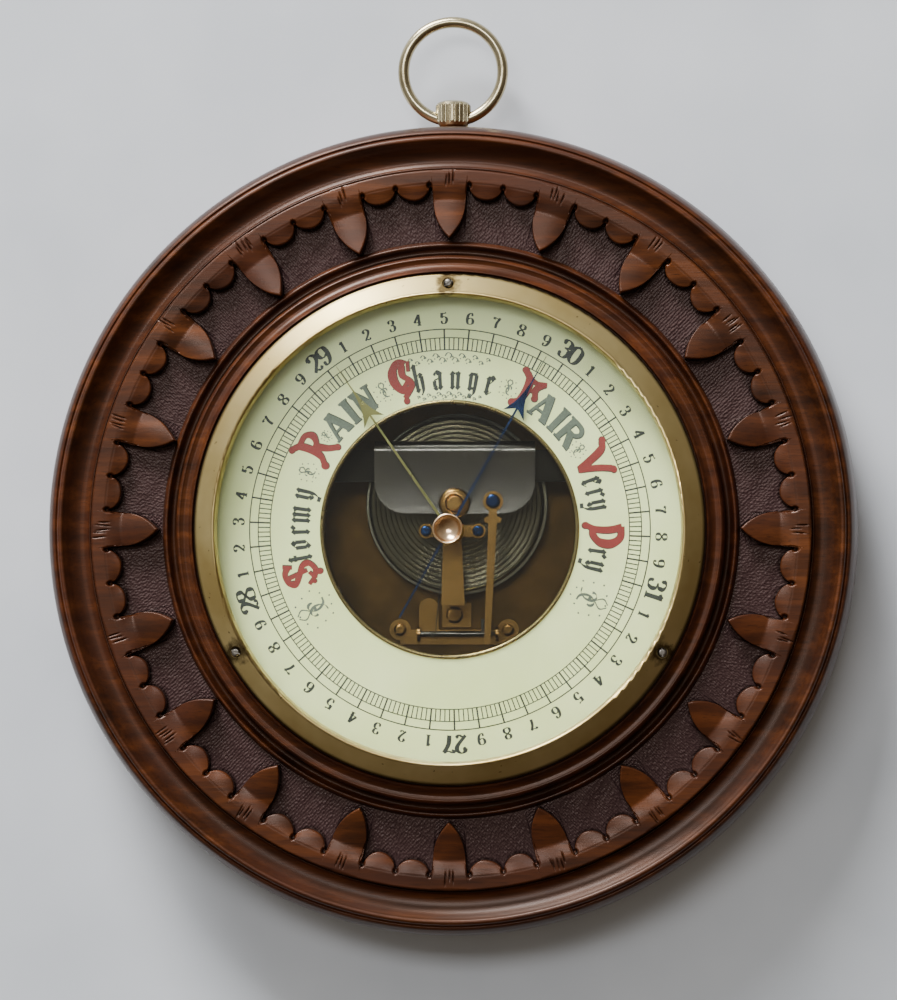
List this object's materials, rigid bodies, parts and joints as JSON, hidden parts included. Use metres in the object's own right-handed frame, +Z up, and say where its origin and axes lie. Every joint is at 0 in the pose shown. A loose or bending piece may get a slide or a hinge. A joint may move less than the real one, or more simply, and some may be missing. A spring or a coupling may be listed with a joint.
{
  "type": "aneroid barometer",
  "caption": "Round wall aneroid barometer in a carved turned wooden case, with an open dial over its capsule movement, a set hand and a hanging ring.",
  "frame": {"origin": "centre of the case's back face, where it lies on the wall, on the case's axis", "axes": "+Z up the wall, -Y out of the wall towards the viewer, +X to the viewer's right"},
  "size_m": [0.218, 0.0402, 0.249],
  "materials": {
    "carved_walnut": "french polished, turned and carved",
    "lacquered_brass": "aged lacquered bezel brass",
    "ring_brass": "aged nickel brass wire",
    "screw_steel": "small slotted steel",
    "blued_steel": "heat blued and polished",
    "flat_glass": "clear flat pane",
    "dial_enamel": "ivory dial with printed scale",
    "gilt_brass": "gilt ring",
    "plate_brass": "dull lacquered plate",
    "movement_brass": "lacquered movement brass",
    "capsule_metal": "corrugated nickel silver",
    "spring_steel": "polished spring steel",
    "cast_bridge": "blackened",
    "set_brass": "polished hand brass",
    "knob_brass": "polished dished knob",
    "back_card": "dull black back cover"
  },
  "bodies": {
    "case": {"wood_case": "carved_walnut", "pendant": "ring_brass", "bezel": "lacquered_brass", "bezel_screws": "screw_steel", "glass": "flat_glass", "glass_retaining_ring": "movement_brass", "glass_bush": "knob_brass", "dial": "dial_enamel", "dial_plate": "plate_brass", "dial_sight_ring": "gilt_brass", "dial_pillars": "movement_brass", "dial_pillar_screws": "screw_steel", "base_plate": "plate_brass", "base_plate_screws": "screw_steel", "back_cover": "back_card", "back_cover_screws": "screw_steel", "capsule": "capsule_metal", "capsule_foot": "movement_brass", "capsule_foot_nut": "movement_brass", "spring_bridge": "cast_bridge", "spring_bridge_screws": "screw_steel", "arbor_frame": "movement_brass", "arbor_frame_screws": "movement_brass", "pointer_cock": "movement_brass", "cock_screws": "blued_steel", "cock_screw_collars": "movement_brass", "cock_foot_screw": "movement_brass", "pointer_under_plate": "movement_brass", "hairspring": "blued_steel"},
    "hanging_ring_body": {"hanging_ring": "ring_brass"},
    "lever_assembly": {"mainspring": "spring_steel", "main_lever": "movement_brass", "lever_screw": "blued_steel", "lever_link": "spring_steel", "capsule_stud": "movement_brass", "stud_collar": "movement_brass"},
    "arbor": {"rocking_arbor": "spring_steel"},
    "chain_run": {"chain": "spring_steel"},
    "pointer": {"pointer_arbor": "spring_steel", "indicating_hand": "blued_steel"},
    "set_pointer": {"set_hand": "set_brass", "set_hand_arbor": "set_brass", "set_knob": "knob_brass"},
    "regulator": {"regulating_screw": "movement_brass"}
  },
  "joints": [
    {"name": "ring_swing", "type": "hinge", "parent": "case", "child": "hanging_ring_body", "pos_m": [0, -0.011, 0.1115], "axis": [1, 0, 0], "range_deg": [-20, 90]},
    {"name": "pointer_turn", "type": "hinge", "parent": "case", "child": "pointer", "pos_m": [0, -0.0313, 0], "axis": [0, 1, 0], "range_deg": [-210, 113], "deforming": ["hairspring"]},
    {"name": "mainspring_flex", "type": "hinge", "parent": "case", "child": "lever_assembly", "pos_m": [0.0012, -0.0235, 0.0211], "axis": [1, 0, 0], "range_deg": [-1.63, 0.89], "deforming": ["mainspring", "capsule"]},
    {"name": "arbor_rock", "type": "hinge", "parent": "case", "child": "arbor", "pos_m": [0, -0.012, -0.028], "axis": [1, 0, 0], "range_deg": [-11.4, 21.1]},
    {"name": "chain_travel", "type": "slide", "parent": "case", "child": "chain_run", "axis": [0.1031, 0, 0.9947], "range_m": [-0.0039, 0.0022]},
    {"name": "set_hand_turn", "type": "hinge", "parent": "case", "child": "set_pointer", "pos_m": [0, -0.0365, 0], "axis": [0, 1, 0], "continuous": true},
    {"name": "regulator_turn", "type": "hinge", "parent": "case", "child": "regulator", "pos_m": [-0.0298, -0.012, 0.0173], "axis": [0, 1, 0], "range_deg": [-360, 360]}
  ],
  "couplings": [
    {"joint": "mainspring_flex", "follows": "pointer_turn", "ratio": 0.0076754},
    {"joint": "arbor_rock", "follows": "pointer_turn", "ratio": -0.1},
    {"joint": "chain_travel", "follows": "pointer_turn", "m_per_rad": 0.00105}
  ]
}
